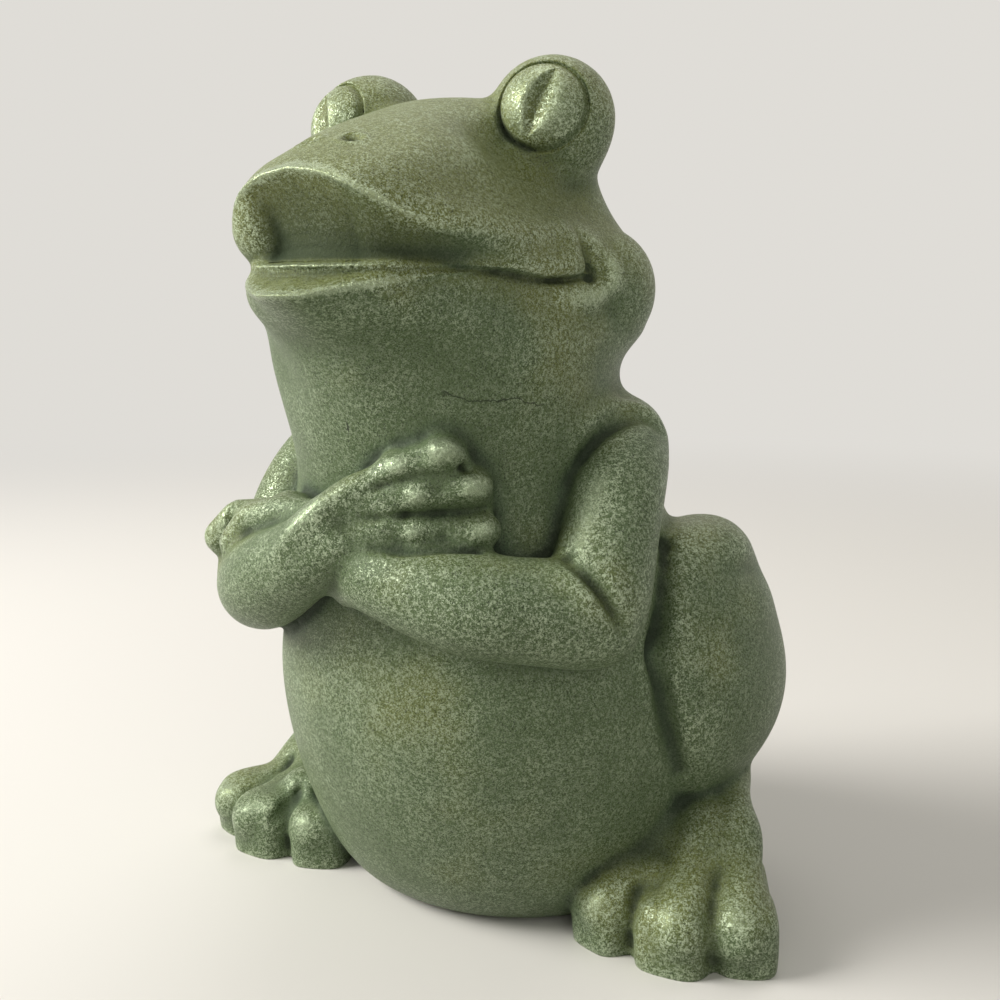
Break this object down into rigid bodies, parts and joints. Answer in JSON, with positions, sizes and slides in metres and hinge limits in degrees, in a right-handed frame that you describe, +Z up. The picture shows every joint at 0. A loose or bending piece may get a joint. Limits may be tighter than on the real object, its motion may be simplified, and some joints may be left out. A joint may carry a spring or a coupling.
{
  "type": "frog figurine",
  "caption": "Small cast ornament of a frog sitting upright with crossed arms, slit eyes and splayed toes, in a sage-green stone finish.",
  "frame": {"origin": "middle of the flat underside of the belly, on the surface the figurine stands on", "axes": "+Z up, -Y the way the frog faces, +X towards the frog's left"},
  "size_m": [0.0918, 0.0848, 0.1135],
  "materials": {
    "patina": "cast stone with a satin sage-green patina, darker in the creases and paler on the worn edges"
  },
  "bodies": {
    "root": {"torso": "patina", "lower_jaw": "patina", "head": "patina", "left_eye": "patina", "right_eye": "patina", "left_upper_arm": "patina", "left_forearm": "patina", "left_hand": "patina", "right_upper_arm": "patina", "right_forearm": "patina", "right_hand": "patina", "left_haunch": "patina", "right_haunch": "patina", "left_foot": "patina", "right_foot": "patina"}
  },
  "joints": []
}
